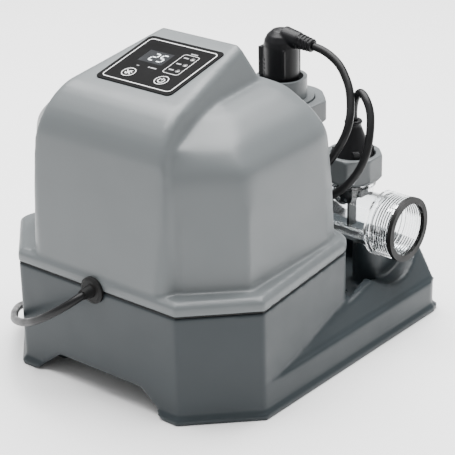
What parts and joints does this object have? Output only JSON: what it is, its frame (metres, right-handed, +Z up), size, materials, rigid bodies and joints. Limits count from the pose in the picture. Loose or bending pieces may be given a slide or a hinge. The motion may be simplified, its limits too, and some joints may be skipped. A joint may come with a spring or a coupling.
{
  "type": "salt chlorine generator",
  "caption": "Pool salt chlorine generator: sloped control housing on a wide base, with a clear threaded flow pipe, cell, flow sensor and leads behind it.",
  "frame": {"origin": "floor, under the middle of the base (the mains cord left out)", "axes": "+X towards the outlet end of the pipe, -Y towards the control face, +Z up"},
  "size_m": [0.3525, 0.4852, 0.285],
  "materials": {
    "base_dark": "satin, fine moulded grain",
    "cover_grey": "satin, fine moulded grain",
    "rubber_black": "matte",
    "screw_steel": "satin",
    "panel_black": "gloss",
    "lens_smoke": "gloss",
    "led_white": "gloss",
    "board_green": "satin",
    "part_black": "satin",
    "part_blue": "satin",
    "part_green": "satin",
    "core_steel": "varnished laminations",
    "coil_copper": "enamelled wire",
    "sink_aluminium": "satin",
    "moulded_black": "semi-gloss",
    "cord_black": "semi-gloss jacket",
    "clear_plastic": "polished clear",
    "titanium": "coated, matte",
    "contact_brass": "satin"
  },
  "bodies": {
    "housing": {"base": "base_dark", "foot_pads": "rubber_black", "cover": "cover_grey", "cover_seal": "rubber_black", "cover_screws": "screw_steel", "control_overlay": "panel_black", "display_lens": "lens_smoke", "indicator_leds": "led_white", "control_board": "board_green", "display_module": "part_black", "main_board": "board_green", "transformer_core": "core_steel", "transformer_coils": "coil_copper", "heatsink": "sink_aluminium", "relays": "part_blue", "capacitors": "part_black", "terminal_block": "part_green", "board_screws": "screw_steel", "inner_wires": "cord_black", "mains_grommet": "rubber_black", "mains_relief": "rubber_black", "lead_glands": "moulded_black", "pipe_body": "clear_plastic", "pipe_screws": "screw_steel", "inlet_gasket": "rubber_black", "outlet_gasket": "rubber_black", "cell_head": "cover_grey", "cell_collar": "cover_grey", "cell_o_ring": "rubber_black", "electrode_plates": "titanium", "cell_terminals": "contact_brass", "sensor_body": "part_black", "sensor_o_ring": "rubber_black", "sensor_plug": "moulded_black", "paddle_pin": "screw_steel", "cell_lead": "cord_black", "sensor_lead": "cord_black", "mains_cord": "cord_black", "mains_coil": "cord_black", "mains_plug": "moulded_black", "mains_plug_pins": "contact_brass", "coil_tie": "moulded_black"},
    "mode_key": {"mode_key": "panel_black"},
    "power_key": {"power_key": "panel_black"},
    "cell_nut": {"cell_nut": "cover_grey"},
    "sensor_nut": {"sensor_nut": "cover_grey"},
    "flow_paddle": {"flow_paddle": "part_black"},
    "cell_plug": {"cell_plug": "moulded_black", "plug_contacts": "contact_brass"}
  },
  "joints": [
    {"name": "mode_key_press", "type": "slide", "parent": "housing", "child": "mode_key", "axis": [0, 0.225, -0.9744], "range_m": [0, 0.0006], "stiffness_N_per_m": 1500},
    {"name": "power_key_press", "type": "slide", "parent": "housing", "child": "power_key", "axis": [0, 0.225, -0.9744], "range_m": [0, 0.0006], "stiffness_N_per_m": 1500},
    {"name": "cell_nut_turn", "type": "hinge", "parent": "housing", "child": "cell_nut", "pos_m": [-0.004, 0.1065, 0.171], "axis": [0, 0, 1], "range_deg": [0, 360]},
    {"name": "sensor_nut_turn", "type": "hinge", "parent": "housing", "child": "sensor_nut", "pos_m": [0.078, 0.1065, 0.133], "axis": [0, 0, 1], "range_deg": [0, 360]},
    {"name": "flow_paddle_swing", "type": "hinge", "parent": "housing", "child": "flow_paddle", "pos_m": [0.078, 0.1065, 0.115], "axis": [0, -1, 0], "range_deg": [0, 25]},
    {"name": "cell_plug_pull", "type": "slide", "parent": "housing", "child": "cell_plug", "axis": [0, 0, 1], "range_m": [0, 0.022]}
  ]
}
